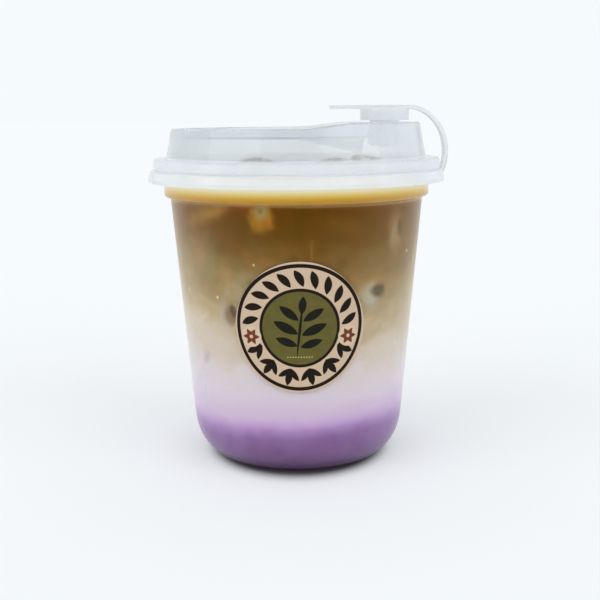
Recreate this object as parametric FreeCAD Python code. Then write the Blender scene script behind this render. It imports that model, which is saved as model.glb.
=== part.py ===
import FreeCAD, Part
import math
import os

# Iced taro milk coffee in a thin clear cup with a snap-on sip lid.
# Millimetres, Z up. The origin is the middle of the foot ring, on the surface it rests on.
# The front, with the round label, faces -Y, and the drinking side of the lid faces +X.

# Cup
CUP_WALL = 0.8
FLOOR_THICKNESS = 1.0
FOOT_RECESS_DEPTH = 0.8
FOOT_RING_WIDTH = 5.0
FOOT_RADIUS = 27.0
CORNER_WIDTH = 10.8
CORNER_HEIGHT = 16.0
WALL_TAPER = 0.0848
COLLAR_Z = 92.0
COLLAR_STEP = 2.1
COLLAR_STEP_HEIGHT = 0.9
COLLAR_HEIGHT = 12.7
RIM_WIDTH = 2.1
RIM_THICKNESS = 1.4
RIM_ROUNDING = 0.4

# Drink, as the depth of each layer from the cup's floor up
TARO_DEPTH = 16.2
MILK_DEPTH = 30.0
FOAM_ABOVE_STEP = 1.6
FOAM_BELOW_RIM = 4.2

# Ice that stands out of the foam: two tubes on their sides and an upright stick
ICE_BORE_RADIUS = 4.0
ICE_ROUNDING = 2.5
LEFT_ICE_RADIUS = 13.0
LEFT_ICE_LENGTH = 27.0
FRONT_ICE_RADIUS = 12.5
FRONT_ICE_LENGTH = 24.0
FRONT_ICE_OFFSET = 9.0
UPRIGHT_ICE_RADIUS = 8.5
UPRIGHT_ICE_LENGTH = 24.0
UPRIGHT_ICE_TILT = 14.0
UPRIGHT_ICE_BEARING = 30.0
ICE_SPACING = 2.4
ICE_WALL_GAP = 1.5
ICE_ABOVE_FOAM = 5.6

# Lid: a flange that snaps under the rim, a raised wall and a top with a drinking lip
LID_WALL = 0.8
SEAL_RING_GAP = 0.2
SEAL_RING_DEPTH = 2.5
FLANGE_GAP = 0.9
FLANGE_BAND_HEIGHT = 3.2
FLANGE_DRAFT = 0.4
SKIRT_STEP = 0.8
SKIRT_STEP_HEIGHT = 0.9
SKIRT_FLARE = 0.7
SKIRT_DROP = 7.8
SKIRT_LIP_HEIGHT = 1.4
SNAP_REACH = 1.5
SNAP_HEIGHT = 1.8
RIM_GAP = 0.15
LID_RISE = 10.2
LID_LEAN = 2.0
TOP_ROUNDING = 0.7
RIDGE_WIDTH = 2.6
RIDGE_LEAN = 0.6
DECK_BELOW_RIDGE = 2.4
LIP_ABOVE_RIDGE = 1.8
LIP_DEPTH = 20.6
LIP_RISE_LENGTH = 24.9
LIP_INNER_LEAN = 1.4

# Basin that drains towards the lip
BASIN_LENGTH = 24.5
BASIN_DEPTH = 5.1
BASIN_START_HALF_WIDTH = 8.0
BASIN_END_HALF_WIDTH = 13.0
BASIN_ROUNDING = 4.0

# Stopper on its strap, moulded in one piece with the lid
STOPPER_FROM_LIP_EDGE = 8.2
STOPPER_RADIUS = 8.5
STOPPER_HEIGHT = 4.2
STOPPER_WALL = 1.0
STOPPER_ROUNDING = 0.5
STOPPER_GAP = 0.6
STEM_RADIUS = 5.2
STEM_TIP_RADIUS = 3.2
STEM_LENGTH = 8.8
STEM_GAP = 0.3
SLEEVE_TAPER = 1.0
SLEEVE_WALL = 0.9
SLEEVE_LENGTH = 7.6
STRAP_THICKNESS = 1.2
STRAP_WIDTH = 7.2
STRAP_SINK = 0.25
STRAP_RUN_OUT = 11.0
STRAP_BULGE = 4.2
STRAP_BULGE_DROP = 12.7
STRAP_ROOT_DROP = 5.0
TAB_LENGTH = 19.4

# Round label on the front of the cup
LABEL_RADIUS = 21.9
LABEL_THICKNESS = 0.15
LABEL_CENTRE_X = 0.9
LABEL_CENTRE_Z = 52.8

# Heights that follow from the sizes above
CAVITY_FLOOR_Z = FOOT_RECESS_DEPTH + FLOOR_THICKNESS
RIM_Z = COLLAR_Z + COLLAR_HEIGHT
TARO_TOP_Z = CAVITY_FLOOR_Z + TARO_DEPTH
MILK_TOP_Z = TARO_TOP_Z + MILK_DEPTH
COFFEE_TOP_Z = COLLAR_Z + FOAM_ABOVE_STEP
FOAM_TOP_Z = RIM_Z - FOAM_BELOW_RIM
ICE_TOP_Z = FOAM_TOP_Z + ICE_ABOVE_FOAM
SHOULDER_Z = RIM_Z + LID_WALL
RIDGE_Z = SHOULDER_Z + LID_RISE
DECK_Z = RIDGE_Z - DECK_BELOW_RIDGE
LIP_Z = RIDGE_Z + LIP_ABOVE_RIDGE
STOPPER_Z = LIP_Z + STOPPER_GAP
STRAP_Z = STOPPER_Z + STOPPER_HEIGHT - STRAP_SINK + STRAP_THICKNESS / 2

# Reach of cutting blocks and slabs that must pass right through the part
FAR = 200.0


def wall_radius(height):
    """Outer radius of the tapered wall, at a height between the corner and the collar."""
    slope_angle = math.atan(WALL_TAPER * CORNER_HEIGHT / CORNER_WIDTH)
    start_radius = FOOT_RADIUS + CORNER_WIDTH * math.cos(slope_angle)
    start_z = CORNER_HEIGHT * (1 - math.sin(slope_angle))
    return start_radius + WALL_TAPER * (height - start_z)


# Radii and places that follow from the sizes above
COLLAR_RADIUS = wall_radius(COLLAR_Z) + COLLAR_STEP
MOUTH_RADIUS = COLLAR_RADIUS - CUP_WALL
RIM_RADIUS = COLLAR_RADIUS + RIM_WIDTH
SEAL_RADIUS = MOUTH_RADIUS - SEAL_RING_GAP
RIDGE_RADIUS = SEAL_RADIUS - LID_LEAN
DECK_RADIUS = RIDGE_RADIUS - RIDGE_WIDTH - RIDGE_LEAN
FLANGE_RADIUS = RIM_RADIUS + FLANGE_GAP + LID_WALL
SKIRT_RADIUS = FLANGE_RADIUS + SKIRT_STEP
LIP_EDGE_X = RIDGE_RADIUS - LIP_DEPTH
BASIN_START_X = LIP_EDGE_X - BASIN_LENGTH
STOPPER_X = LIP_EDGE_X + STOPPER_FROM_LIP_EDGE


def point(radius, height):
    return FreeCAD.Vector(radius, 0.0, height)


def rounded_path(corners):
    """Edges along (x, z, rounding) corners, with a tangent arc at each rounded corner."""
    edges = []
    start = point(corners[0][0], corners[0][1])
    for index in range(1, len(corners)):
        corner = point(corners[index][0], corners[index][1])
        rounding = corners[index][2]
        if rounding == 0.0:
            edges.append(Part.makeLine(start, corner))
            start = corner
            continue
        after = point(corners[index + 1][0], corners[index + 1][1])
        arriving = (corner - start).normalize()
        leaving = (after - corner).normalize()
        half_turn = arriving.getAngle(leaving) / 2
        reach = rounding * math.tan(half_turn)
        arc_start = corner - arriving * reach
        arc_end = corner + leaving * reach
        towards_centre = (leaving - arriving).normalize()
        sagitta = rounding * (1 / math.cos(half_turn) - 1)
        arc_middle = corner + towards_centre * sagitta
        edges.append(Part.makeLine(start, arc_start))
        edges.append(Part.Arc(arc_start, arc_middle, arc_end).toShape())
        start = arc_end
    return edges


def turned(edges):
    """Solid turned about the Z axis from a closed outline."""
    face = Part.Face(Part.Wire(edges))
    return face.revolve(point(0, 0), FreeCAD.Vector(0, 0, 1), 360.0)


def prism(edges, half_width):
    """Solid from a closed outline in the XZ plane, as wide on both sides of it."""
    face = Part.Face(Part.Wire(edges))
    face.translate(FreeCAD.Vector(0, -half_width, 0))
    return face.extrude(FreeCAD.Vector(0, 2 * half_width, 0))


def slab(low, high):
    """Block between two heights, wider than the part."""
    corner = FreeCAD.Vector(-FAR / 2, -FAR / 2, low)
    return Part.makeBox(FAR, FAR, high - low, corner)


def cup_form(inset, floor_z, rim_corners):
    """Solid inside the cup's outer face, or its cavity when it is inset by the wall."""
    width = CORNER_WIDTH - inset
    height = CORNER_HEIGHT - floor_z
    slope_angle = math.atan(WALL_TAPER * height / width)
    corner = Part.Ellipse(
        point(FOOT_RADIUS, CORNER_HEIGHT + height),
        point(FOOT_RADIUS + width, CORNER_HEIGHT),
        point(FOOT_RADIUS, CORNER_HEIGHT),
    )
    corner_edge = corner.toShape(math.pi / 2 + slope_angle, math.pi)
    wall_start_radius = FOOT_RADIUS + width * math.cos(slope_angle)
    wall_start_z = CORNER_HEIGHT - height * math.sin(slope_angle)
    wall_top_radius = wall_start_radius + WALL_TAPER * (COLLAR_Z - wall_start_z)
    collar_radius = COLLAR_RADIUS - inset
    wall = [
        (wall_start_radius, wall_start_z, 0.0),
        (wall_top_radius, COLLAR_Z, CUP_WALL),
        (collar_radius, COLLAR_Z + COLLAR_STEP_HEIGHT, CUP_WALL),
    ]
    top_z = rim_corners[-1][1]
    edges = [Part.makeLine(point(0, floor_z), point(FOOT_RADIUS, floor_z)), corner_edge]
    edges += rounded_path(wall + rim_corners)
    edges.append(Part.makeLine(point(0, top_z), point(0, floor_z)))
    return turned(edges)


def cup_cavity():
    corners = [(MOUTH_RADIUS, RIM_Z, 0.0), (0.0, RIM_Z, 0.0)]
    return cup_form(CUP_WALL, CAVITY_FLOOR_Z, corners)


def foot_recess():
    radius = FOOT_RADIUS - FOOT_RING_WIDTH
    return Part.makeCone(radius, radius - FOOT_RECESS_DEPTH, FOOT_RECESS_DEPTH)


def make_cup():
    rim_corners = [
        (COLLAR_RADIUS, RIM_Z - RIM_THICKNESS, RIM_ROUNDING),
        (RIM_RADIUS, RIM_Z - RIM_THICKNESS, RIM_ROUNDING),
        (RIM_RADIUS, RIM_Z, RIM_ROUNDING),
        (0.0, RIM_Z, 0.0),
    ]
    outside = cup_form(0.0, 0.0, rim_corners)
    return outside.cut(cup_cavity()).cut(foot_recess())


def ice_tube(radius, bore_radius, length):
    """Tube of ice along Z, centred on the origin, with melted round edges."""
    bottom = -length / 2
    outline = rounded_path([
        (bore_radius, bottom, 0.0),
        (radius, bottom, ICE_ROUNDING),
        (radius, bottom + length, ICE_ROUNDING),
        (bore_radius, bottom + length, 0.0),
        (bore_radius, bottom, 0.0),
    ])
    return turned(outline)


def lying_ice(radius, length, centre_x, centre_y, heading):
    """Tube on its side, its top a set height above the foam."""
    tube = ice_tube(radius, ICE_BORE_RADIUS, length)
    tube.rotate(point(0, 0), FreeCAD.Vector(1, 0, 0), 90.0)
    tube.rotate(point(0, 0), FreeCAD.Vector(0, 0, 1), heading)
    tube.translate(FreeCAD.Vector(centre_x, centre_y, ICE_TOP_Z - radius))
    return tube


def upright_ice():
    """Stick that leans over towards the wall, its highest edge level with the other ice."""
    stick = ice_tube(UPRIGHT_ICE_RADIUS, 0.0, UPRIGHT_ICE_LENGTH)
    stick.rotate(point(0, 0), FreeCAD.Vector(0, 1, 0), UPRIGHT_ICE_TILT)
    low_z = ICE_TOP_Z - UPRIGHT_ICE_LENGTH
    reach = stick.BoundBox.XMax + ICE_WALL_GAP
    stick.translate(point(wall_radius(low_z) - CUP_WALL - reach, 0))
    stick.rotate(point(0, 0), FreeCAD.Vector(0, 0, 1), UPRIGHT_ICE_BEARING)
    stick.translate(point(0, ICE_TOP_Z - stick.BoundBox.ZMax))
    return stick


def make_ice():
    """Two tubes side by side across the middle, and the stick behind the right one."""
    left_x = -LEFT_ICE_RADIUS - ICE_SPACING / 2
    front_x = FRONT_ICE_RADIUS + ICE_SPACING / 2
    return {
        "ice_left": lying_ice(LEFT_ICE_RADIUS, LEFT_ICE_LENGTH, left_x, 0.0, 4.0),
        "ice_front": lying_ice(FRONT_ICE_RADIUS, FRONT_ICE_LENGTH, front_x, -FRONT_ICE_OFFSET, -3.0),
        "ice_upright": upright_ice(),
    }


def make_layers(ice):
    """Drink from the floor to the foam's top, cut into layers and round the ice."""
    drink = cup_cavity()
    for piece in ice.values():
        drink = drink.cut(piece)
    levels = {
        "taro_layer": (0.0, TARO_TOP_Z),
        "milk_layer": (TARO_TOP_Z, MILK_TOP_Z),
        "coffee_layer": (MILK_TOP_Z, COFFEE_TOP_Z),
        "foam_layer": (COFFEE_TOP_Z, FOAM_TOP_Z),
    }
    return {name: drink.common(slab(low, high)) for name, (low, high) in levels.items()}


def make_label():
    """Round sticker that lies on the tapered wall."""
    low = LABEL_CENTRE_Z - LABEL_RADIUS - 1.0
    high = LABEL_CENTRE_Z + LABEL_RADIUS + 1.0
    inner = Part.makeCone(wall_radius(low), wall_radius(high), high - low, point(0, low))
    outer = Part.makeCone(
        wall_radius(low) + LABEL_THICKNESS,
        wall_radius(high) + LABEL_THICKNESS,
        high - low,
        point(0, low),
    )
    bend = wall_radius(LABEL_CENTRE_Z)
    half_chord = bend * math.sin(LABEL_RADIUS / bend)
    ellipse = Part.Ellipse(
        point(LABEL_CENTRE_X, LABEL_CENTRE_Z + LABEL_RADIUS),
        point(LABEL_CENTRE_X + half_chord, LABEL_CENTRE_Z),
        point(LABEL_CENTRE_X, LABEL_CENTRE_Z),
    )
    disc = Part.Face(Part.Wire([ellipse.toShape()]))
    cutter = disc.extrude(FreeCAD.Vector(0, -FAR, 0))
    return outer.cut(inner).common(cutter)


def lip_cutter(inset):
    """Everything above the lid's top, which rises in a smooth curve to the drinking lip."""
    low = RIDGE_Z - inset
    high = LIP_Z - inset
    start_x = LIP_EDGE_X - LIP_RISE_LENGTH
    middle_x = (start_x + LIP_EDGE_X) / 2
    rise = Part.BezierCurve()
    rise.setPoles([
        point(start_x, low),
        point(middle_x, low),
        point(middle_x, high),
        point(LIP_EDGE_X, high),
    ])
    edges = [Part.makeLine(point(-FAR, low), point(start_x, low)), rise.toShape()]
    edges += rounded_path([
        (LIP_EDGE_X, high, 0.0),
        (FAR, high, 0.0),
        (FAR, FAR, 0.0),
        (-FAR, FAR, 0.0),
        (-FAR, low, 0.0),
    ])
    return prism(edges, FAR)


def deck_recess(inset):
    """Sunken top inside the ridge, up to the inner face of the lip."""
    deck = DECK_Z - inset
    deck_radius = DECK_RADIUS + inset
    top_radius = deck_radius + RIDGE_LEAN * (FAR - deck) / (RIDGE_Z - DECK_Z)
    hollow = Part.makeCone(deck_radius, top_radius, FAR - deck, point(0, deck))
    return hollow.common(lip_side(inset))


def lip_side(inset):
    """Space on the middle's side of the lip's leaning inner face."""
    basin_z = DECK_Z - BASIN_DEPTH
    slope = LIP_INNER_LEAN / (LIP_Z - basin_z)
    top_x = LIP_EDGE_X + inset + slope * (FAR - LIP_Z)
    bottom_x = LIP_EDGE_X + inset - slope * LIP_Z
    return prism(rounded_path([
        (-FAR, 0.0, 0.0),
        (bottom_x, 0.0, 0.0),
        (top_x, FAR, 0.0),
        (-FAR, FAR, 0.0),
        (-FAR, 0.0, 0.0),
    ]), FAR)


def basin_plan(inset):
    """Outline of the basin from above, drawn upright and laid flat; it fans out to the lip."""
    start_x = BASIN_START_X - inset
    start_half = BASIN_START_HALF_WIDTH + inset
    end_half = BASIN_END_HALF_WIDTH + inset
    rounding = BASIN_ROUNDING + inset
    plan = Part.Face(Part.Wire(rounded_path([
        (start_x, 0.0, 0.0),
        (start_x, start_half, rounding),
        (LIP_EDGE_X, end_half, 0.0),
        (FAR, end_half, 0.0),
        (FAR, -end_half, 0.0),
        (LIP_EDGE_X, -end_half, 0.0),
        (start_x, -start_half, rounding),
        (start_x, 0.0, 0.0),
    ])))
    plan.rotate(point(0, 0), FreeCAD.Vector(1, 0, 0), 90.0)
    return plan


def basin(inset):
    """Sloping basin in the deck, widest and deepest at the lip."""
    floor_z = DECK_Z - BASIN_DEPTH - inset
    start_x = BASIN_START_X - inset
    ramp = prism(rounded_path([
        (start_x, DECK_Z - inset, 0.0),
        (LIP_EDGE_X - LIP_INNER_LEAN, floor_z, 0.0),
        (FAR, floor_z, 0.0),
        (FAR, FAR, 0.0),
        (start_x, FAR, 0.0),
        (start_x, DECK_Z - inset, 0.0),
    ]), FAR)
    hollow = basin_plan(inset).extrude(FreeCAD.Vector(0, 0, FAR))
    return hollow.common(ramp).common(lip_side(inset))


def lid_form(inset):
    """Solid inside the lid's raised wall and top, or the space below them when inset."""
    bottom = RIM_Z - SEAL_RING_DEPTH - inset
    lip_radius = SEAL_RADIUS - LID_LEAN * (LIP_Z - SHOULDER_Z) / LID_RISE
    body = turned(rounded_path([
        (0.0, bottom, 0.0),
        (SEAL_RADIUS - inset, bottom, 0.0),
        (SEAL_RADIUS - inset, SHOULDER_Z, 0.0),
        (lip_radius - inset, LIP_Z - inset, 0.0),
        (0.0, LIP_Z - inset, 0.0),
        (0.0, bottom, 0.0),
    ]))
    form = body.cut(lip_cutter(inset)).cut(deck_recess(inset)).cut(basin(inset))
    return form.Solids[0]


def on_outer_edge(edge):
    middle_of_ridge = DECK_RADIUS + RIDGE_WIDTH / 2
    return all(math.hypot(end.X, end.Y) > middle_of_ridge for end in edge.Vertexes)


def soft_topped(form):
    """The lid's outer form with the edge all round its top rounded."""
    upper = [edge for edge in form.Edges if edge.BoundBox.ZMin > DECK_Z + TOP_ROUNDING]
    return form.makeFillet(TOP_ROUNDING, [edge for edge in upper if on_outer_edge(edge)])


def flange():
    """Shoulder and stepped skirt, with a snap bead that passes under the rim."""
    band_bottom_z = SHOULDER_Z - FLANGE_BAND_HEIGHT
    skirt_bottom_z = SHOULDER_Z - SKIRT_DROP
    hem_radius = SKIRT_RADIUS + SKIRT_FLARE
    snap_z = RIM_Z - RIM_THICKNESS - RIM_GAP
    inner_radius = FLANGE_RADIUS - LID_WALL
    ring_inner_radius = SEAL_RADIUS - LID_WALL
    return turned(rounded_path([
        (ring_inner_radius, SHOULDER_Z, 0.0),
        (FLANGE_RADIUS - FLANGE_DRAFT, SHOULDER_Z, TOP_ROUNDING),
        (FLANGE_RADIUS, band_bottom_z, 0.0),
        (FLANGE_RADIUS - FLANGE_DRAFT / 2, band_bottom_z - SKIRT_STEP_HEIGHT / 2, 0.0),
        (SKIRT_RADIUS, band_bottom_z - SKIRT_STEP_HEIGHT, LID_WALL / 2),
        (hem_radius, skirt_bottom_z + SKIRT_LIP_HEIGHT, LID_WALL / 2),
        (hem_radius, skirt_bottom_z, 0.0),
        (hem_radius - LID_WALL, skirt_bottom_z, 0.0),
        (SKIRT_RADIUS - LID_WALL, snap_z - SNAP_HEIGHT, 0.0),
        (inner_radius - SNAP_REACH, snap_z - SNAP_HEIGHT / 3, RIM_GAP),
        (inner_radius, snap_z, 0.0),
        (inner_radius, RIM_Z, 0.0),
        (ring_inner_radius, RIM_Z, 0.0),
        (ring_inner_radius, SHOULDER_Z, 0.0),
    ]))


def tapered_round(wall, low, high):
    """Cone on the stopper's axis round the stem, a wall outside its clearance."""
    tip_radius = STEM_TIP_RADIUS + SLEEVE_TAPER + STEM_GAP + wall
    cone = Part.makeCone(tip_radius, STEM_RADIUS + STEM_GAP + wall, high - low, point(0, low))
    cone.translate(point(STOPPER_X, 0))
    return cone


def sip_hole():
    """Tapered hole that takes the stopper's stem, through the lip and its sleeve."""
    return tapered_round(0.0, LIP_Z - SLEEVE_LENGTH - LID_WALL, LIP_Z + LID_WALL)


def sleeve():
    """Tube below the lip that guides the stem."""
    return tapered_round(SLEEVE_WALL, LIP_Z - SLEEVE_LENGTH, LIP_Z - LID_WALL / 2)


def stopper():
    """Hollow cap over the sip hole, with a tapered stem that is open below."""
    top = STOPPER_Z + STOPPER_HEIGHT
    tip = STOPPER_Z - STEM_LENGTH
    cap = turned(rounded_path([
        (0.0, top, 0.0),
        (STOPPER_RADIUS, top, STOPPER_ROUNDING),
        (STOPPER_RADIUS, STOPPER_Z, 0.0),
        (STOPPER_RADIUS - STOPPER_WALL, STOPPER_Z, 0.0),
        (STOPPER_RADIUS - STOPPER_WALL, top - STOPPER_WALL, 0.0),
        (STEM_RADIUS, top - STOPPER_WALL, 0.0),
        (STEM_RADIUS, STOPPER_Z, 0.0),
        (STEM_TIP_RADIUS, tip, 0.0),
        (STEM_TIP_RADIUS - STOPPER_WALL, tip, 0.0),
        (STEM_RADIUS - STOPPER_WALL, STOPPER_Z, 0.0),
        (STEM_RADIUS - STOPPER_WALL, top - STOPPER_WALL, 0.0),
        (0.0, top - STOPPER_WALL, 0.0),
        (0.0, top, 0.0),
    ]))
    cap.translate(point(STOPPER_X, 0))
    return cap


def strap_path():
    """Straight over the stopper, then a bow out and down to the flange."""
    tab_x = STOPPER_X - TAB_LENGTH + STRAP_WIDTH / 2
    edge_x = STOPPER_X + STOPPER_RADIUS - STOPPER_WALL
    bow = Part.BezierCurve()
    bow.setPoles([
        point(edge_x, STRAP_Z),
        point(edge_x + STRAP_RUN_OUT, STRAP_Z),
        point(SKIRT_RADIUS + STRAP_BULGE, STRAP_Z - STRAP_BULGE_DROP),
        point(SKIRT_RADIUS, SHOULDER_Z - STRAP_ROOT_DROP),
    ])
    straight = Part.makeLine(point(tab_x, STRAP_Z), point(edge_x, STRAP_Z))
    return Part.Wire([straight, bow.toShape()])


def strap():
    """Flat strip from the pull tab, over the stopper and down to the flange."""
    path = strap_path()
    start = path.Vertexes[0].Point
    half_width = FreeCAD.Vector(0, STRAP_WIDTH / 2, 0)
    half_thickness = point(0, STRAP_THICKNESS / 2)
    corners = [
        start - half_width - half_thickness,
        start + half_width - half_thickness,
        start + half_width + half_thickness,
        start - half_width + half_thickness,
    ]
    section = Part.makePolygon(corners + corners[:1])
    return path.makePipeShell([section], True, False)


def pull_tab():
    """Round end of the strip."""
    tab = Part.makeCylinder(STRAP_WIDTH / 2, STRAP_THICKNESS)
    tab.translate(point(STOPPER_X - TAB_LENGTH + STRAP_WIDTH / 2, STRAP_Z - STRAP_THICKNESS / 2))
    return tab


def make_lid():
    """Lid, strap and stopper, which are one moulding."""
    shell = soft_topped(lid_form(0.0)).cut(lid_form(LID_WALL))
    lid = shell.fuse(flange()).fuse(sleeve()).cut(sip_hole())
    lid = lid.fuse([stopper(), strap(), pull_tab()])
    return lid.removeSplitter()


def main():
    os.makedirs("parts", exist_ok=True)
    ice = make_ice()
    pieces = {"cup": make_cup(), "lid": make_lid(), "label": make_label()}
    pieces.update(ice)
    pieces.update(make_layers(ice))
    for name, shape in pieces.items():
        shape.exportStep(os.path.join("parts", name + ".step"))
        print(name, len(shape.Solids), "solids,", round(shape.Volume / 1000, 2), "ml, valid", shape.isValid())


main()
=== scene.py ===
# %% [markdown]
# # Iced taro milk coffee in a lidded cup
# The drink is a column of four layers in a thin clear cup with a frosted sip lid. All of it could
# be modelled here, but the solids come packed and measured, so this notebook only dresses them.
# It loads them as a fixed frame, keeps the cup, the lid, the label and the ice, and swaps the
# layers for pieces that reach just into the cup's wall.

# %% Load the frame
import math
import random

import bmesh
import bpy
from mathutils import Matrix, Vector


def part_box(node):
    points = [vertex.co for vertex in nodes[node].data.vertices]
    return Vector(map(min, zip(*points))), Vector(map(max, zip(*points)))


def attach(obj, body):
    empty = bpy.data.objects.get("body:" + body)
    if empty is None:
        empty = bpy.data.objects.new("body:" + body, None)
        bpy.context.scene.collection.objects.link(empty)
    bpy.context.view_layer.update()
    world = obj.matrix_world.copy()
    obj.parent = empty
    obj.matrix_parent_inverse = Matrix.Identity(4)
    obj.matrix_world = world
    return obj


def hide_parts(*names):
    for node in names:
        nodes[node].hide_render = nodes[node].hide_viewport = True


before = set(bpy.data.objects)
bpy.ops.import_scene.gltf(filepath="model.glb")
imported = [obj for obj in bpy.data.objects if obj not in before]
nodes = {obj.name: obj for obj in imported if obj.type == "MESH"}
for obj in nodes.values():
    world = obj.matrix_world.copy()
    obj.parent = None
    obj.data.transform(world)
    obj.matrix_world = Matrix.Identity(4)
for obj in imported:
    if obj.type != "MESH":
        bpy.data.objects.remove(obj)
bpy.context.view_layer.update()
MM = 0.001
print("nodes", sorted(nodes))

# %% [markdown]
# ## Shader maths
# Every finish below is a web of shader nodes. They could be added and linked one at a time, as in
# the editor, but patterns are easier to read as sums. So a small class wraps one socket and
# overloads the operators, and one method adds any other node with its settings and its sockets.


# %% A socket that can be added and multiplied
class Value:
    def __init__(self, finish, socket):
        self.finish = finish
        self.socket = socket

    def math(self, operation, *others):
        sockets = dict(enumerate((self,) + others))
        return self.finish.node("ShaderNodeMath", {"operation": operation}, sockets)

    def __add__(self, other):
        return self.math("ADD", other)

    def __sub__(self, other):
        return self.math("SUBTRACT", other)

    def __mul__(self, other):
        return self.math("MULTIPLY", other)

    def __truediv__(self, other):
        return self.math("DIVIDE", other)

    def __pow__(self, other):
        return self.math("POWER", other)

    def __radd__(self, other):
        return self + other

    def __rsub__(self, other):
        return self * -1.0 + other

    def __rmul__(self, other):
        return self * other

    def __neg__(self):
        return self * -1.0

    def below(self, edge, softness):
        """1 where the value is under the edge, fading to 0 over the softness."""
        return self.over(edge, softness) * -1.0 + 1.0

    def over(self, edge, softness):
        """0 where the value is under the edge, rising to 1 over the softness."""
        limits = {0: self, 1: edge - softness / 2, 2: edge + softness / 2, 3: 0.0, 4: 1.0}
        settings = {"interpolation_type": "SMOOTHSTEP"}
        return self.finish.node("ShaderNodeMapRange", settings, limits)


# %% A material, or the world, with one way to add a node
class Finish:
    def __init__(self, name, world=None):
        self.material = world or bpy.data.materials.new(name)
        self.material.use_nodes = True
        self.tree = self.material.node_tree
        self.tree.nodes.clear()
        kind = "ShaderNodeOutputWorld" if world else "ShaderNodeOutputMaterial"
        self.output = self.tree.nodes.new(kind)

    def node(self, kind, settings=None, sockets=None, out=0):
        made = self.tree.nodes.new(kind)
        for name, value in (settings or {}).items():
            if name == "stops":
                self.set_stops(made.color_ramp, value)
            else:
                setattr(made, name, value)
        for name, value in (sockets or {}).items():
            if isinstance(value, Value):
                self.tree.links.new(value.socket, made.inputs[name])
            else:
                made.inputs[name].default_value = value
        return Value(self, made.outputs[out])

    def set_stops(self, ramp, stops):
        while len(ramp.elements) < len(stops):
            ramp.elements.new(1.0)
        for element, (position, colour) in zip(ramp.elements, stops):
            element.position = position
            element.color = (*colour, 1.0)

    def place(self):
        """The X, Y and Z of the shaded point, in metres in the object's own frame."""
        point = self.node("ShaderNodeTexCoord", out="Object")
        return [self.node("ShaderNodeSeparateXYZ", sockets={0: point}, out=i) for i in range(3)]

    def looked_at(self):
        """1 for what the camera sees, straight on, mirrored or through the plastic."""
        seen = self.node("ShaderNodeLightPath", out="Is Camera Ray")
        for ray in ("Is Glossy Ray", "Is Transmission Ray"):
            seen = seen.math("MAXIMUM", self.node("ShaderNodeLightPath", out=ray))
        return seen

    def noise(self, size, stretch=(1.0, 1.0, 1.0), detail=3.0, roughness=0.5, kind="FBM"):
        """Smooth noise from 0 to 1 with features of about the given size in metres."""
        point = self.node("ShaderNodeTexCoord", out="Object")
        scaled = self.node("ShaderNodeMapping", sockets={"Vector": point, "Scale": stretch})
        sockets = {"Vector": scaled, "Scale": 1 / size, "Detail": detail, "Roughness": roughness}
        return self.node("ShaderNodeTexNoise", {"noise_type": kind}, sockets)

    def dots(self, spacing, radius, share):
        """1 inside round specks of a radius in metres, one to some of the cells of a grid."""
        point = self.node("ShaderNodeTexCoord", out="Object")
        sockets = {"Vector": point, "Scale": 1 / spacing}
        distance = self.node("ShaderNodeTexVoronoi", sockets=sockets, out="Distance")
        chance = self.node("ShaderNodeTexVoronoi", sockets=sockets, out="Color")
        chosen = self.node("ShaderNodeSeparateColor", sockets={0: chance}).below(share, 0.01)
        return distance.below(radius / spacing, 0.4 * radius / spacing) * chosen

    def blend(self, first, second, amount, kind="MIX"):
        """Colour between the first and the second, by an amount from 0 to 1."""
        settings = {"data_type": "RGBA", "blend_type": kind, "clamp_factor": True}
        sockets = {0: amount, 6: colour_of(first), 7: colour_of(second)}
        return self.node("ShaderNodeMix", settings, sockets, out=2)

    def end(self, shader):
        self.tree.links.new(shader.socket, self.output.inputs["Surface"])
        return self.material


def colour_of(value):
    return value if isinstance(value, Value) else (*value, 1.0)


def shade(red, green, blue):
    """Linear colour from the 0 to 255 values that a screen shows."""
    return tuple(
        channel / 3294.6 if channel <= 10 else ((channel / 255 + 0.055) / 1.055) ** 2.4
        for channel in (red, green, blue)
    )


print("mid grey", [round(channel, 3) for channel in shade(128, 128, 128)])

# %% [markdown]
# ## Camera
# The cup is seen from the front, a little above its rim, from about a forearm's length away.
# A Track To constraint could aim the camera, but two written angles and a lens are simpler and
# stay as they are set. The lens follows from the distance and the size of the cup in the frame.

# %% Place the camera
CAMERA_DISTANCE = 335 * MM
CAMERA_HEIGHT = 118.9 * MM
CAMERA_PITCH = 0.1909
CAMERA_ROLL = 0.0075
CAMERA_ASIDE = 1.45 * MM
LENS_MM = 56.4
SENSOR_MM = 36.0

camera_data = bpy.data.cameras.new("camera")
camera_data.lens = LENS_MM
camera_data.sensor_width = SENSOR_MM
camera_data.clip_start = 10 * MM
camera = bpy.data.objects.new("camera", camera_data)
camera.location = (CAMERA_ASIDE, -CAMERA_DISTANCE, CAMERA_HEIGHT)
camera.rotation_euler = (math.pi / 2 - CAMERA_PITCH, CAMERA_ROLL, 0.0)
bpy.context.scene.collection.objects.link(camera)
bpy.context.scene.camera = camera
print("camera lens", LENS_MM)

# %% [markdown]
# ## Floor
# The cup stands on a white table that melts into its backdrop. A curved studio sweep would do
# that, but a flat sheet that runs past the horizon needs no shape. Where the sheet is looked at,
# a third of its brightness is its own glow, which keeps the wide shadow faint. An Ambient
# Occlusion node measures how much of the space above is open. It darkens the floor tightly under
# the cup's rounded corner, and less at both sides, where light reaches in.

# %% Floor
BACKDROP = shade(245, 250, 253)
FLOOR_PAINT = shade(250, 253, 255)
FLOOR_SIZE = 60.0
FLOOR_GLOW = 0.35
CONTACT_SHADE = shade(86, 80, 88)
CONTACT_REACH = 14 * MM
SIDE_REACH = 62 * MM

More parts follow.
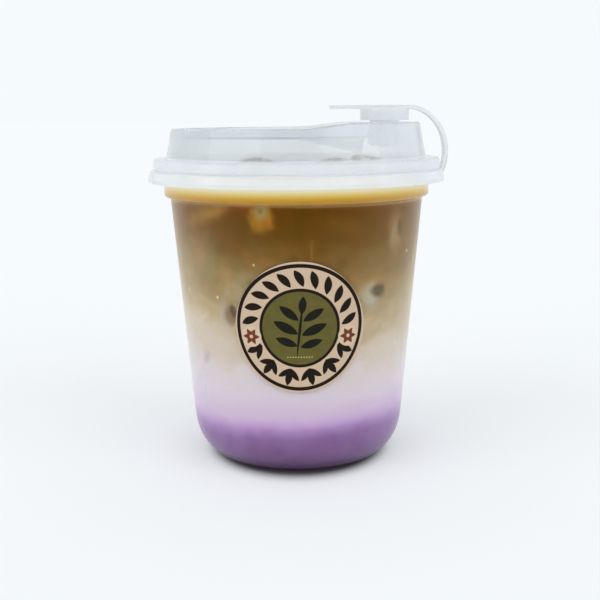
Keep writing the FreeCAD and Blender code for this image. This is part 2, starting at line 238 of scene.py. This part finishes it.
floor_mesh = bpy.data.meshes.new("floor")
sheet = bmesh.new()
bmesh.ops.create_grid(sheet, x_segments=1, y_segments=1, size=FLOOR_SIZE / 2)
sheet.to_mesh(floor_mesh)
sheet.free()
floor = bpy.data.objects.new("floor", floor_mesh)
bpy.context.scene.collection.objects.link(floor)

paint = Finish("floor_paint")
open_above = paint.node(
    "ShaderNodeAmbientOcclusion", {"samples": 16}, {"Distance": CONTACT_REACH}, out="AO")
# Painted contact shade: occlusion darkens the floor under the cup, and a sideways term lifts it.
aside = paint.place()[0] / SIDE_REACH
lit = (open_above + aside * aside).over(0.48, 0.56)
floor_colour = paint.blend(CONTACT_SHADE, FLOOR_PAINT, lit)
matt_floor = paint.node("ShaderNodeBsdfPrincipled", sockets={
    "Base Color": floor_colour, "Roughness": 1.0, "Specular IOR Level": 0.0})
glow = paint.node("ShaderNodeEmission", sockets={"Color": colour_of(BACKDROP), "Strength": 1.0})
floor_surface = paint.node("ShaderNodeMixShader", sockets={
    0: paint.looked_at() * lit * FLOOR_GLOW, 1: matt_floor, 2: glow})
floor_mesh.materials.append(paint.end(floor_surface))
print("floor", FLOOR_SIZE, "m")

# %% [markdown]
# ## World and lamps
# In a light tent the cup is lit evenly from all round. Area lamps close by would do for the cup,
# but they leave a bright patch on the floor. So the world does most of the work, and two wide
# suns from the front corners add gentle shape. A sun lights the whole floor alike, which lets
# the floor match the backdrop so that no horizon shows. The world gives plain light, and the
# backdrop's own colour where it is looked at.

# %% World
WORLD_LIGHT = 0.8
WORLD_TINT = (0.98, 0.99, 1.0, 1.0)

world = bpy.data.worlds.new("studio")
bpy.context.scene.world = world
air = Finish("studio", world)
plain = air.node("ShaderNodeBackground", sockets={"Color": WORLD_TINT, "Strength": WORLD_LIGHT})
backdrop = air.node("ShaderNodeBackground", sockets={
    "Color": colour_of(BACKDROP), "Strength": 1.0})
air.end(air.node("ShaderNodeMixShader", sockets={0: air.looked_at(), 1: plain, 2: backdrop}))
print("world light", WORLD_LIGHT)


# %% Lamps
def wide_sun(name, bearing, height, spread, strength):
    """Soft sun from a bearing off the front and a height above the floor, all in degrees."""
    lamp = bpy.data.lights.new(name, "SUN")
    lamp.angle = math.radians(spread)
    lamp.energy = strength
    lamp_object = bpy.data.objects.new(name, lamp)
    lamp_object.rotation_euler = (math.radians(90 - height), 0.0, math.radians(bearing))
    bpy.context.scene.collection.objects.link(lamp_object)


wide_sun("sun_left", -58.0, 24.0, 50.0, 0.8)
wide_sun("sun_right", 52.0, 22.0, 50.0, 0.72)

scene = bpy.context.scene
scene.view_settings.view_transform = "Standard"
scene.cycles.transparent_max_bounces = 32
scene.cycles.transmission_bounces = 16
scene.cycles.max_bounces = 20
print("lamps", [lamp.name for lamp in bpy.data.lights])

# %% [markdown]
# ## Colour of the drink
# Taro, milk and coffee were poured one on another and bleed into each other. Four plain colours,
# one to a layer, would show hard seams. So all layers share one ramp up the cup's height, and
# cloudy noise pushes the height up and down where two liquids mix.

# %% Drink colour by height
DRINK_TOP = 100.5 * MM
TARO_SLOPE = 0.05
MILK_SLOPE = 0.06
DRINK_AND_BOTTOM_SHADE_STOPS = [
    # The stops under about 5 mm are painted shade, darkest at the bottom, where the cup stands on
    # the floor.
    (2.2, (58, 38, 62)),
    (4.6, (100, 70, 108)),
    (7.0, (114, 83, 124)),
    (14.0, (133, 100, 148)),
    (17.0, (160, 128, 178)),
    (19.0, (186, 156, 198)),
    (21.5, (196, 174, 201)),
    (28.0, (204, 192, 204)),
    (36.0, (204, 194, 192)),
    (41.0, (197, 185, 171)),
    (46.0, (192, 177, 156)),
    (51.0, (180, 164, 134)),
    (56.0, (170, 148, 114)),
    (61.0, (150, 134, 100)),
    (66.0, (138, 116, 78)),
    (74.5, (116, 90, 46)),
    (81.5, (97, 67, 20)),
    (90.5, (94, 58, 11)),
    (92.0, (118, 74, 22)),
    (93.1, (168, 124, 50)),
    (94.3, (188, 148, 50)),
    (95.6, (214, 188, 104)),
    (96.8, (224, 214, 180)),
    (99.5, (228, 218, 190)),
]


def drink_ramp(finish, height, stops):
    """Colour that runs through (millimetres, screen colour) stops up the drink."""
    stops = [(z * MM / DRINK_TOP, shade(*colour)) for z, colour in stops]
    return finish.node("ShaderNodeValToRGB", {"stops": stops}, {0: height / DRINK_TOP})


def cloudy_height(finish):
    """Height above the floor, pushed up and down where the layers bleed into each other."""
    across, _, height = finish.place()
    billows = finish.noise(17 * MM, stretch=(1.0, 1.0, 1.5), detail=5.0, roughness=0.62)
    bleed = height.over(32 * MM, 22 * MM) * height.below(80 * MM, 22 * MM)
    level = height.below(26 * MM, 6 * MM)
    pour = (billows - 0.5) * (bleed * (34 * MM) + level * (3.5 * MM))
    slope = bleed * MILK_SLOPE - level * TARO_SLOPE
    return height + pour + across * slope


print("drink colours", len(DRINK_AND_BOTTOM_SHADE_STOPS))

# %% [markdown]
# ## Spots at the wall
# Tube ice and streaks of foam touch the wall and show through it as soft spots, with specks of
# coffee and bright little bubbles between them. Modelled ice inside an opaque drink would stay
# hidden, so each spot is painted into the drink's colour. It is a turned ellipse on the unrolled
# wall with a soft rim, which fine noise breaks up.

# %% Spots of ice at the wall
class Spot:
    """A soft spot on the cup: its bearing off the front, height, half sizes, slant, colour."""

    def __init__(self, bearing, height, wide, high, slant, colour, strength=1.0, blur=0.8):
        self.bearing = math.radians(bearing)
        self.height = height
        self.wide = wide
        self.high = high
        self.slant = math.radians(slant)
        self.colour = colour
        self.strength = strength
        self.blur = blur


DARK = (46, 36, 26)
SPOTS = [
    Spot(-43.0, 88.6, 9.0, 2.5, 17.0, (146, 112, 58), 0.7, 1.6),
    Spot(-37.0, 90.0, 4.0, 1.6, 17.0, (160, 124, 60), 0.5, 1.6),
    Spot(-14.6, 88.6, 3.3, 4.1, 0.0, (170, 126, 50), 0.85, 1.4),
    Spot(-12.6, 86.6, 2.2, 1.8, -30.0, (150, 98, 36), 0.5, 1.6),
    Spot(-14.6, 90.6, 2.2, 2.2, 0.0, (150, 138, 100), 0.8, 1.4),
    Spot(-14.8, 90.6, 0.8, 1.0, 0.0, (120, 98, 60), 0.6, 0.9),
    Spot(47.0, 80.5, 1.0, 3.4, 0.0, (130, 118, 94), 0.5, 1.2),
    Spot(49.0, 82.5, 3.0, 6.0, 6.0, (176, 158, 122), 0.4, 1.6),
    Spot(52.0, 83.6, 1.3, 2.8, 8.0, (58, 48, 38), 0.9, 1.1),
    Spot(35.4, 62.4, 3.4, 3.8, 10.0, (178, 176, 166), 0.75, 1.4),
    Spot(39.9, 63.4, 3.0, 2.2, 0.0, DARK, 0.95, 1.0),
    Spot(-35.2, 55.8, 2.6, 4.4, 10.0, (164, 158, 150), 0.6, 1.3),
    Spot(-32.0, 56.3, 2.3, 3.4, 0.0, (112, 78, 50), 0.85, 1.1),
    Spot(-30.6, 57.6, 1.1, 2.2, 20.0, DARK, 0.85, 0.9),
    Spot(-51.0, 39.6, 1.4, 2.4, -35.0, (160, 144, 180), 0.7, 1.2),
    Spot(-18.8, 73.3, 0.4, 0.4, 0.0, (204, 190, 156), 0.7, 0.6),
    Spot(-17.5, 82.0, 0.45, 0.45, 0.0, (78, 40, 20), 0.7, 0.6),
    Spot(-9.5, 86.8, 0.4, 0.4, 0.0, (84, 44, 20), 0.7, 0.6),
    Spot(-26.0, 76.0, 0.4, 0.5, 0.0, (92, 60, 36), 0.5, 0.6),
    Spot(-62.0, 62.0, 0.5, 0.7, 0.0, (226, 204, 150), 0.8, 0.5),
    Spot(-39.0, 61.5, 0.5, 0.5, 0.0, (220, 200, 156), 0.8, 0.5),
    Spot(60.0, 75.0, 0.6, 0.6, 0.0, (220, 202, 160), 0.8, 0.5),
    Spot(-48.0, 74.0, 7.0, 7.5, 25.0, (150, 134, 104), 0.5, 1.7),
    Spot(-33.0, 80.0, 8.0, 2.6, 8.0, (104, 76, 42), 0.45, 1.7),
    Spot(-52.0, 53.0, 4.5, 0.7, 34.0, (206, 198, 176), 0.4, 1.4),
    Spot(-48.0, 60.0, 6.0, 0.8, -20.0, (190, 172, 136), 0.3, 1.4),
    Spot(6.5, 76.5, 0.5, 4.5, 0.0, (140, 110, 62), 0.4, 1.4),
    Spot(28.0, 52.0, 6.0, 1.0, 18.0, (200, 186, 154), 0.35, 1.4),
    Spot(38.0, 71.0, 8.0, 4.0, -10.0, (136, 112, 72), 0.4, 1.7),
    Spot(22.0, 85.5, 8.0, 2.2, -18.0, (116, 80, 30), 0.4, 1.6),
]


def with_spots(finish, colour, spots):
    """Colour with each spot laid over it, soft at the rim and broken up by fine noise."""
    x, y, z = finish.place()
    bearing = x.math("ARCTAN2", -y)
    wobble = (finish.noise(2.6 * MM, detail=2.0) - 0.5) * 0.7
    for spot in spots:
        radius = hollow_radius(spot.height) * MM
        aside = (bearing - spot.bearing) * radius
        above = z - spot.height * MM
        cos, sin = math.cos(spot.slant), math.sin(spot.slant)
        along = (aside * cos + above * sin) / (spot.wide * MM)
        across = (above * cos - aside * sin) / (spot.high * MM)
        reach = (along * along + across * across) ** 0.5 + wobble
        cover = reach.below(1.0, spot.blur) * spot.strength
        colour = finish.blend(colour, shade(*spot.colour), cover)
    return colour


print("spots", len(SPOTS))

# %% [markdown]
# ## The layers
# Poured liquid takes the shape of the cup's hollow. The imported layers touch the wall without
# going in, and where two skins lie in one place, bending plastic shows streaks of air. So each
# layer is made again as a short column, spun from the cup's inside profile and 0.1 mm wider
# than the hollow: the wall and the drink overlap and no air shows between them.

# %% Profile of the hollow
FOOT_RADIUS = 27.0
CORNER_WIDTH = 10.0
CORNER_Z = 16.0
FLOOR_Z = 1.8
WALL_TAPER = 0.0848
COLLAR_Z = 92.0
COLLAR_STEP = 2.1
STEP_HEIGHT = 0.9
INTO_WALL = 0.1


def hollow_radius(height):
    """Inside radius of the cup at a height, both in millimetres."""
    depth = CORNER_Z - FLOOR_Z
    turn = math.atan(WALL_TAPER * depth / CORNER_WIDTH)
    wall_start = CORNER_Z - depth * math.sin(turn)
    if height < wall_start:
        across = math.sqrt(max(0.0, 1 - ((CORNER_Z - height) / depth) ** 2))
        return FOOT_RADIUS + CORNER_WIDTH * across
    start_radius = FOOT_RADIUS + CORNER_WIDTH * math.cos(turn)
    wall = start_radius + WALL_TAPER * (min(height, COLLAR_Z) - wall_start)
    step = min(1.0, max(0.0, (height - COLLAR_Z) / STEP_HEIGHT))
    return wall + COLLAR_STEP * step


print("hollow radius", [round(hollow_radius(height), 2) for height in (2.0, 50.0, 99.0)])


# %% Turn a column
def turned_piece(name, outline, steps=128):
    """Object turned about Z from (radius, height) points in millimetres, from axis to axis."""
    form = bmesh.new()
    points = [form.verts.new((radius * MM, 0.0, height * MM)) for radius, height in outline]
    edges = [form.edges.new(pair) for pair in zip(points, points[1:])]
    bmesh.ops.spin(
        form, geom=points + edges, cent=(0, 0, 0), axis=(0, 0, 1), dvec=(0, 0, 0),
        angle=math.tau, steps=steps, use_merge=True, use_duplicate=False)
    bmesh.ops.remove_doubles(form, verts=form.verts, dist=1e-6)
    bmesh.ops.recalc_face_normals(form, faces=form.faces)
    return finished(name, form)


def finished(name, form, sharp_angle=40.0):
    mesh = bpy.data.meshes.new(name)
    form.to_mesh(mesh)
    form.free()
    mesh.shade_smooth()
    mesh.set_sharp_from_angle(angle=math.radians(sharp_angle))
    made = bpy.data.objects.new(name, mesh)
    bpy.context.scene.collection.objects.link(made)
    print(name, len(mesh.polygons), "faces")
    return made


def layer_outline(low, high):
    """Half outline of a layer between two heights, from axis to axis, in millimetres."""
    count = max(3, round((high - low) / 1.5))
    heights = [low + (high - low) * i / count for i in range(count + 1)]
    heights += [z for z in (COLLAR_Z, COLLAR_Z + STEP_HEIGHT) if low < z < high]
    side = [(hollow_radius(z) + INTO_WALL, z) for z in sorted(heights)]
    return [(0.0, low)] + side + [(0.0, high)]


# %% [markdown]
# ## Finish of the drink and the foam
# Coffee with milk is cloudy: browner and greener wisps drift in it, taro settles in dark patches,
# and small specks float at the wall. True scattering would cost much light and time, and an
# opaque column looks the same through the cup. So the shared ramp is multiplied by soft noise,
# and round specks are laid on: dark grounds, and pale dots that are painted glints on tiny
# bubbles. On top of the foam, cells of a Voronoi pattern draw the skin of fine bubbles, browner
# along the wall.

# %% Drink finish
def drink_finish(name, low, high):
    finish = Finish(name)
    colour = drink_ramp(finish, cloudy_height(finish), DRINK_AND_BOTTOM_SHADE_STOPS)
    near = [spot for spot in SPOTS if low - spot.wide < spot.height < high + spot.wide]
    colour = with_spots(finish, colour, near)
    brown = finish.place()[2].over(58 * MM, 24 * MM)
    ruddy = finish.noise(8 * MM, detail=4.0).over(0.52, 0.24) * brown
    green = finish.noise(5 * MM, stretch=(1.0, 1.0, 0.6), detail=4.0).over(0.54, 0.2) * brown
    colour = finish.blend(colour, (1.16, 0.93, 0.74), ruddy * 0.8, "MULTIPLY")
    colour = finish.blend(colour, (0.82, 0.9, 0.74), green * 0.8, "MULTIPLY")
    purple = finish.place()[2].below(19 * MM, 5 * MM)
    settled = finish.noise(7 * MM, detail=5.0).over(0.5, 0.3) * purple
    colour = finish.blend(colour, (0.88, 0.8, 0.88), settled, "MULTIPLY")
    # Painted glints: pale dots that stand in for light caught on tiny bubbles at the wall.
    glints = finish.dots(9 * MM, 0.32 * MM, 0.3)
    colour = finish.blend(colour, shade(222, 210, 184), glints * 0.5)
    grounds = finish.dots(7 * MM, 0.3 * MM, 0.2)
    colour = finish.blend(colour, shade(70, 44, 34), grounds * brown * 0.6)
    surface = finish.node("ShaderNodeBsdfPrincipled", sockets={
        "Base Color": colour, "Roughness": 0.6, "Specular IOR Level": 0.0})
    return finish.end(surface)


FOAM_EDGE = 45.6 * MM


def foam_finish():
    """The foam's side follows the drink's ramp, and its top is a skin of small bubbles."""
    finish = Finish("foam_drink")
    x, y, z = finish.place()
    side = drink_ramp(finish, cloudy_height(finish), DRINK_AND_BOTTOM_SHADE_STOPS)
    from_rim = FOAM_EDGE - (x * x + y * y) ** 0.5
    swirl = finish.noise(12 * MM, detail=4.0, roughness=0.6)
    top = finish.blend(shade(232, 218, 184), shade(206, 172, 118), swirl.over(0.52, 0.3))
    top = finish.blend(shade(200, 158, 92), top, from_rim.over(2.5 * MM, 4 * MM))
    point = finish.node("ShaderNodeTexCoord", out="Object")
    cells = finish.node("ShaderNodeTexVoronoi", {"feature": "DISTANCE_TO_EDGE"}, {
        "Vector": point, "Scale": 1 / (1.5 * MM)}, out="Distance")
    films = cells.below(0.12, 0.16)
    top = finish.blend(top, shade(246, 238, 216), films * 0.6)
    is_top = z.over(DRINK_TOP - 0.2 * MM, 0.1 * MM)
    bump = finish.node("ShaderNodeBump", sockets={
        "Strength": 0.5, "Distance": 0.5 * MM, "Height": films * is_top})
    surface = finish.node("ShaderNodeBsdfPrincipled", sockets={
        "Base Color": finish.blend(side, top, is_top), "Roughness": 0.5,
        "Specular IOR Level": 0.0, "Normal": bump})
    return finish.end(surface)


# %% Make the layers
LAYERS = {
    "taro_layer": "taro",
    "milk_layer": "milk",
    "coffee_layer": "coffee",
    "foam_layer": "foam",
}
for node, slot in LAYERS.items():
    low, high = (corner[2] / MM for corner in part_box(node))
    layer = turned_piece(slot + "_column", layer_outline(low, high))
    finish = foam_finish() if slot == "foam" else drink_finish(slot + "_drink", low, high)
    layer.data.materials.append(finish)
    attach(layer, "root")
    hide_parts(node)

# %% [markdown]
# ## Bubbles
# Pouring leaves larger bubbles on the foam, most of them along the wall and round the ice. A bump
# pattern would look flat from the side, so each one is a real dome: a small sphere, flattened
# and cut off just under the foam's top. All are one mesh, set out by seeded chance.

# %% Bubbles on the foam
BUBBLES = 210
BUBBLE_REACH = 45.3
ICE_RINGS = ((-14.2, 0.0, 15.0), (13.7, -9.0, 13.6))


def bubble_places(count):
    """Place and radius of each bubble, in millimetres, drawn to the wall and to the ice."""
    chance = random.Random(7)
    places = []
    for index in range(count):
        radius = chance.uniform(0.5, 1.0) * (2.0 if chance.random() < 0.18 else 1.0)
        turn = chance.uniform(0.0, math.tau)
        if index % 3 == 0:
            middle_x, middle_y, ring = chance.choice(ICE_RINGS)
            away = ring + chance.uniform(-0.5, 2.5)
        else:
            middle_x, middle_y = 0.0, 0.0
            away = BUBBLE_REACH - radius - abs(chance.gauss(0.0, 2.2))
        places.append((middle_x + away * math.cos(turn), middle_y + away * math.sin(turn), radius))
    return places


domes = bmesh.new()
for x, y, radius in bubble_places(BUBBLES):
    place = Matrix.Translation((x * MM, y * MM, DRINK_TOP))
    flat = Matrix.Diagonal((1.0, 1.0, 0.75, 1.0))
    bmesh.ops.create_icosphere(domes, subdivisions=2, radius=radius * MM, matrix=place @ flat)
bmesh.ops.bisect_plane(
    domes, geom=domes.verts[:] + domes.edges[:] + domes.faces[:],
    plane_co=(0, 0, DRINK_TOP - 0.2 * MM), plane_no=(0, 0, 1), clear_inner=True)
bubbles = finished("foam_bubbles", domes)

# %% Film of a bubble
film = Finish("bubble_film")
wet = film.node("ShaderNodeBsdfPrincipled", sockets={
    "Base Color": film.blend(shade(240, 228, 196), shade(214, 178, 120), film.noise(5 * MM)),
    "Roughness": 0.12, "Coat Weight": 0.4})
through = film.node("ShaderNodeBsdfTransparent", sockets={"Color": (0.97, 0.94, 0.86, 1.0)})
edge = film.node("ShaderNodeLayerWeight", sockets={"Blend": 0.5}, out="Facing")
bubbles.data.materials.append(film.end(film.node("ShaderNodeMixShader", sockets={
    0: edge * 0.7 + 0.12, 1: through, 2: wet})))
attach(bubbles, "root")
print("bubbles", BUBBLES)

# %% [markdown]
# ## Clear cup
# Thin clear plastic bends the light, so the drink seems to reach the cup's outline. A plain
# transparent skin would be quicker but shows a clear band at both sides, so this one refracts.
# Seen along the wall it turns hazy and takes a paler tone of the drink behind it, and at the
# bottom rim it carries painted shade, dark where the cup stands on the floor. That haze is a plain
# surface, mixed in by the facing angle and the height.
# Shadow rays pass straight through, which lights the drink.

# %% Plastic that bends and hazes
def dress(node, material):
    mesh = nodes[node].data
    mesh.materials.clear()
    mesh.materials.append(material)


def plastic(finish, tint, roughness, shine, hazy, share):
    """Bending plastic with a share of a hazy surface, which lets light through to what it holds."""
    glass = finish.node("ShaderNodeBsdfPrincipled", sockets={
        "Base Color": colour_of(tint), "Roughness": roughness, "IOR": 1.45,
        "Transmission Weight": 1.0, "Specular Tint": (shine, shine, shine, 1.0)})
    seen = finish.node("ShaderNodeMixShader", sockets={0: share, 1: glass, 2: hazy})
    open_way = finish.node("ShaderNodeBsdfTransparent", sockets={"Color": colour_of(tint)})
    shadow = finish.node("ShaderNodeLightPath", out="Is Shadow Ray")
    soft = finish.node("ShaderNodeLightPath", out="Is Diffuse Ray")
    passing = shadow.math("MAXIMUM", soft)
    return finish.node("ShaderNodeMixShader", sockets={0: passing, 1: seen, 2: open_way})


# %% Cup plastic
HAZE_AND_FOOT_SHADE_STOPS = [
    # The stops under about 2.5 mm are painted shade: the plastic goes nearly black where the cup
    # stands on the floor.
    (0.0, (16, 11, 17)),
    (0.9, (38, 26, 42)),
    (2.4, (92, 68, 104)),
    (5.0, (136, 106, 156)),
    (14.0, (166, 136, 188)),
    (19.0, (206, 184, 218)),
    (30.0, (220, 212, 224)),
    (42.0, (216, 207, 200)),
    (54.0, (208, 194, 166)),
    (66.0, (190, 170, 126)),
    (78.0, (166, 138, 90)),
    (90.0, (154, 118, 64)),
    (94.0, (210, 176, 112)),
    (98.0, (232, 224, 200)),
]
FOOT_SHADE_TOP = 2.8 * MM
FOOT_SHADE_FADE = 3.0 * MM


def cup_plastic():
    finish = Finish("cup_plastic")
    height = finish.place()[2]
    streaks = finish.noise(9 * MM, stretch=(1.0, 1.0, 0.25), detail=3.0)
    haze_and_foot_shade = finish.node("ShaderNodeBsdfPrincipled", sockets={
        "Base Color": drink_ramp(finish, height, HAZE_AND_FOOT_SHADE_STOPS), "Roughness": 0.35})
    facing = finish.node("ShaderNodeLayerWeight", sockets={"Blend": 0.5}, out="Facing")
    # Painted shade: near the floor the dark haze takes over, for the shade under the cup's rounded
    # bottom.
    foot_shade = height.below(FOOT_SHADE_TOP, FOOT_SHADE_FADE) * 0.9
    share = facing * (streaks * 0.3 + 0.45) + foot_shade
    return finish.end(plastic(finish, (0.99, 0.99, 0.985), 0.02, 0.05, haze_and_foot_shade, share))


dress("cup", cup_plastic())
print("cup", len(nodes["cup"].data.polygons), "faces")

# %% [markdown]
# ## Frosted lid
# The lid is softer, milkier plastic than the cup. Real frosting scatters light inside the sheet,
# which is slow to work out and noisy in thin walls. So the same bending plastic gets a larger
# share of a milky surface. The share is high where the plastic is thick: on the rim below the
# wall, on the top, on the stopper's stem and on the strap. The raised wall stays clearest, and
# the ice shows through it.

# %% Lid plastic
WALL_FOOT = 106 * MM
WALL_TOP = 117.6 * MM
STEM_X = 31.0 * MM
STEM_RADIUS = 7.5 * MM
STRAP_X = 45 * MM


def lid_plastic():
    finish = Finish("lid_plastic")
    streaks = finish.noise(14 * MM, stretch=(1.0, 1.0, 0.15), detail=2.0)
    x, y, z = finish.place()
    wall = z.over(WALL_FOOT, 0.8 * MM) * z.below(WALL_TOP, 0.4 * MM)
    cloud = finish.blend(shade(218, 223, 229), shade(233, 237, 241), streaks)
    cloud = finish.blend(cloud, shade(206, 213, 217), wall * x.below(14 * MM, 24 * MM))
    milky = finish.node("ShaderNodeBsdfPrincipled", sockets={
        "Base Color": cloud, "Roughness": 0.3, "Specular IOR Level": 0.4})
    facing = finish.node("ShaderNodeLayerWeight", sockets={"Blend": 0.5}, out="Facing")
    from_stem = ((x - STEM_X) * (x - STEM_X) + y * y) ** 0.5
    thick = z.below(WALL_FOOT, 0.8 * MM) * 0.3 + z.over(WALL_TOP, 0.4 * MM) * 0.4
    thick = thick + from_stem.below(STEM_RADIUS, 1 * MM) * 0.4
    thick = thick + x.over(STRAP_X, 1 * MM) * z.over(WALL_FOOT, 1 * MM) * 0.7
    share = facing * 0.34 + streaks * 0.08 + thick + wall * streaks * 0.12 + 0.09
    return finish.end(plastic(finish, (0.938, 0.952, 0.962), 0.07, 0.5, milky, share))


dress("lid", lid_plastic())
print("lid", len(nodes["lid"].data.polygons), "faces")

# %% [markdown]
# ## Label
# The round sticker is printed flat and wraps round the wall. Its motifs could be cut as thin
# solids, but print has no thickness, and shader maths stays sharp at any size. So the pattern is
# drawn on the unrolled wall: the way round the cup in one direction, the height in the other.
# Leaves, flowers and a sprig all come from one leaf shape, where two circles overlap.

# %% Leaves on the unrolled wall
LABEL_CENTRE = (0.9, 52.8)
LABEL_BEND = 41.15
CREAM = shade(203, 180, 155)
INK = shade(28, 21, 13)
OLIVE = shade(106, 98, 52)
RUST = shade(108, 56, 36)


def leaf(aside, above, length, width):
    """1 inside a pointed leaf that lies along the first direction, in millimetres."""
    bulge = (length * length - width * width) / (2 * width)
    arc = (length * length + width * width) / (2 * width)
    upper = (aside * aside + (above + bulge) * (above + bulge)) ** 0.5
    lower = (aside * aside + (above - bulge) * (above - bulge)) ** 0.5
    return upper.math("MAXIMUM", lower).below(arc, 0.16)


def turned_leaf(aside, above, place, angle, length, width):
    """Leaf at a place, turned by an angle in degrees."""
    cos, sin = math.cos(math.radians(angle)), math.sin(math.radians(angle))
    from_x = aside - place[0]
    from_y = above - place[1]
    return leaf(from_x * cos + from_y * sin, from_y * cos - from_x * sin, length, width)


def ring_place(aside, above, count, radius, first=0.0):
    """Way along and out from the middle of the nearest of a ring of equal places."""
    turn = above.math("ARCTAN2", aside) / math.tau * count - first
    nearest = turn - turn.math("ROUND")
    out = (aside * aside + above * above) ** 0.5 - radius
    return nearest * (math.tau * radius / count), out


print("label centre", LABEL_CENTRE)

# %% Label print
FLOWER_PLACES = ((-16.2, -3.2), (16.2, -3.2))
SPRIG_LEAVES = (
    ((0.9, 7.6), 84.0, 3.0, 1.25),
    ((-3.4, 5.0), 142.0, 3.9, 1.4),
    ((4.4, 4.4), 32.0, 3.9, 1.4),
    ((-4.5, 0.2), 152.0, 4.5, 1.55),
    ((4.7, -0.5), 24.0, 4.5, 1.55),
    ((-4.3, -4.6), 160.0, 3.8, 1.35),
    ((3.8, -5.2), 18.0, 3.8, 1.35),
)


def label_print():
    finish = Finish("label_print")
    x, y, z = finish.place()
    aside = x.math("ARCTAN2", -y) * LABEL_BEND - LABEL_CENTRE[0]
    above = z / MM - LABEL_CENTRE[1]
    out = (aside * aside + above * above) ** 0.5
    grain = finish.noise(0.5 * MM, detail=2.0)
    colour = finish.blend(CREAM, shade(188, 164, 140), grain)
    rim = out.over(19.95, 0.14) * out.below(21.2, 0.14)
    colour = finish.blend(colour, INK, rim)
    colour = finish.blend(colour, INK, out.below(13.2, 0.14))
    wash = finish.blend(OLIVE, shade(82, 76, 36), finish.noise(4 * MM, detail=4.0))
    colour = finish.blend(colour, wash, out.below(12.2, 0.14))
    upper = above.over(-3.4, 0.2)
    along, away = ring_place(aside, above, 22, 16.5, 0.5)
    leaves = turned_leaf(along, away, (0.0, 0.0), 62.0, 3.1, 1.25)
    colour = finish.blend(colour, INK, leaves * upper)
    along, away = ring_place(aside, above, 14, 16.5, 0.0)
    fans = turned_leaf(along, away, (0.0, 0.3), 90.0, 3.1, 1.15)
    for lean in (-1, 1):
        side_leaf = turned_leaf(along, away, (lean * 1.7, -0.6), 90.0 - lean * 40.0, 2.6, 0.95)
        fans = fans.math("MAXIMUM", side_leaf)
    colour = finish.blend(colour, INK, fans * (1.0 - upper))
    for place in FLOWER_PLACES:
        from_x = aside - place[0]
        from_y = above - place[1]
        from_flower = (from_x * from_x + from_y * from_y) ** 0.5
        colour = finish.blend(colour, CREAM, from_flower.below(3.5, 0.2))
        for angle in (0.0, 60.0, 120.0):
            colour = finish.blend(colour, RUST, turned_leaf(aside, above, place, angle, 2.9, 1.0))
        colour = finish.blend(colour, CREAM, from_flower.below(0.6, 0.2))
    sprig = turned_leaf(aside, above, (0.0, -0.6), 84.0, 9.6, 0.45)
    for place, angle, length, width in SPRIG_LEAVES:
        sprig = sprig.math("MAXIMUM", turned_leaf(aside, above, place, angle, length, width))
    colour = finish.blend(colour, shade(26, 26, 20), sprig)
    beads = ((aside / 0.9).math("FRACT") - 0.5) * 0.9
    bead = ((beads * beads + (above + 9.7) * (above + 9.7)) ** 0.5).below(0.26, 0.12)
    row = aside.math("ABSOLUTE").below(4.2, 0.1)
    colour = finish.blend(colour, shade(190, 178, 118), bead * row * 0.7)
    surface = finish.node("ShaderNodeBsdfPrincipled", sockets={
        "Base Color": colour, "Roughness": 0.5, "Specular IOR Level": 0.08})
    return finish.end(surface)


dress("label", label_print())
print("label sprig leaves", len(SPRIG_LEAVES))

# %% [markdown]
# ## Ice
# The ice that stands out of the foam is cloudy, wet and streaked with fine cracks. Clear ice with
# modelled cracks would hardly show through two hazy walls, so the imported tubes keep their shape
# and get a glossy surface, with stretched noise for the pale cracks and for the bump.

# %% Ice finish
def ice_finish(name):
    finish = Finish(name)
    cracks = finish.noise(3.2 * MM, stretch=(1.0, 0.35, 1.0), detail=6.0, roughness=0.65)
    streaks = cracks.over(0.54, 0.12)
    colour = finish.blend(shade(120, 107, 86), shade(208, 201, 184), streaks)
    bump = finish.node("ShaderNodeBump", sockets={
        "Strength": 0.35, "Distance": 0.4 * MM, "Height": cracks})
    surface = finish.node("ShaderNodeBsdfPrincipled", sockets={
        "Base Color": colour, "Roughness": 0.2, "Normal": bump, "Coat Weight": 0.3})
    return finish.end(surface)


for name in ("ice_left", "ice_front", "ice_upright"):
    dress(name, ice_finish(name + "_frozen"))
    print(name, len(nodes[name].data.polygons), "faces")
